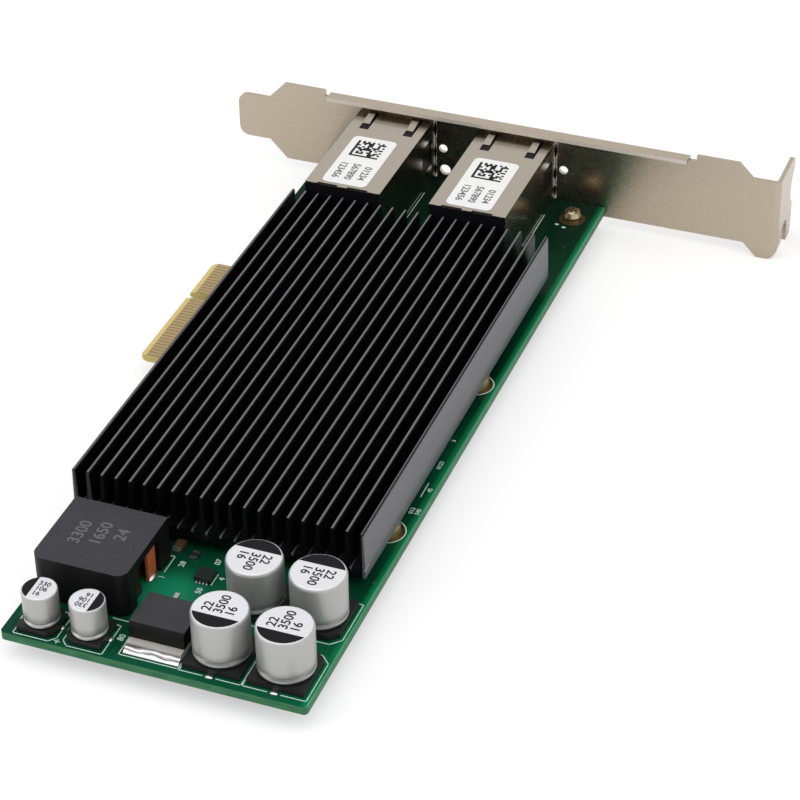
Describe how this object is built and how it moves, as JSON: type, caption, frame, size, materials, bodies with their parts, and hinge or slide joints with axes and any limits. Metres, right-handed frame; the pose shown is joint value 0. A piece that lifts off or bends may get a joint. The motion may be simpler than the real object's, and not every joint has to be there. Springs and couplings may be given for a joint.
{
  "type": "network interface card",
  "caption": "Expansion card with two network ports on a slotted bracket, a long finned heatsink and power parts at the free end.",
  "frame": {"origin": "under the middle of the card's box, level with its lowest point (the lower end of the bracket's tab), the card lying on its solder side", "axes": "+X across the board, from the edge connector towards the bracket's screw tab; +Y along the board towards the bracket, out of the ports; +Z from the solder side to the component side"},
  "size_m": [0.12, 0.1762, 0.0215],
  "materials": {
    "board": "green solder mask over glass-fibre laminate",
    "gold_contacts": "gold-plated copper",
    "screw_pads": "bare plated copper rings",
    "bracket_steel": "warm grey nickel-plated steel, fine brushed",
    "screws": "yellow plated steel",
    "dark_screws": "plated steel",
    "spacers": "turned brass",
    "port_shield": "plated folded sheet",
    "port_insert": "black moulded plastic",
    "port_contacts": "gold-plated springs",
    "label": "white paper sticker",
    "solder": "tin solder",
    "heatsink": "black anodised aluminium",
    "chip_package": "black moulded package",
    "thermal_pad": "soft grey sheet",
    "inductor_core": "dark grey pressed ferrite",
    "copper": "flat copper winding",
    "capacitor_can": "drawn aluminium can",
    "capacitor_base": "black moulded base",
    "tinned": "tinned metal",
    "ceramic": "brown ceramic",
    "resistor": "dark glazed ceramic"
  },
  "bodies": {
    "root": {"bracket": "bracket_steel", "bracket_screws": "screws", "bulk_capacitor_1_base": "capacitor_base", "bulk_capacitor_1_can": "capacitor_can", "bulk_capacitor_2_base": "capacitor_base", "bulk_capacitor_2_can": "capacitor_can", "bulk_capacitor_3_base": "capacitor_base", "bulk_capacitor_3_can": "capacitor_can", "bulk_capacitor_4_base": "capacitor_base", "bulk_capacitor_4_can": "capacitor_can", "capacitor_leads": "tinned", "chip_capacitor": "ceramic", "chip_capacitor_ends": "tinned", "chip_resistor": "resistor", "chip_resistor_ends": "tinned", "circuit_board": "board", "diode_body": "chip_package", "diode_leads": "tinned", "diode_solder": "solder", "diode_tab": "tinned", "driver_chip": "chip_package", "driver_chip_leads": "tinned", "edge_contacts": "gold_contacts", "heatsink": "heatsink", "heatsink_screws": "dark_screws", "heatsink_spacers": "spacers", "inductor_core": "inductor_core", "inductor_winding": "copper", "left_port_contacts": "port_contacts", "left_port_insert": "port_insert", "left_port_label": "label", "left_port_shield": "port_shield", "network_controller": "chip_package", "network_controller_thermal_pad": "thermal_pad", "port_solder_joints": "solder", "power_controller": "chip_package", "power_controller_thermal_pad": "thermal_pad", "right_port_contacts": "port_contacts", "right_port_insert": "port_insert", "right_port_label": "label", "right_port_shield": "port_shield", "screw_pads": "screw_pads", "small_capacitor_1_base": "capacitor_base", "small_capacitor_1_can": "capacitor_can", "small_capacitor_2_base": "capacitor_base", "small_capacitor_2_can": "capacitor_can"}
  },
  "joints": []
}
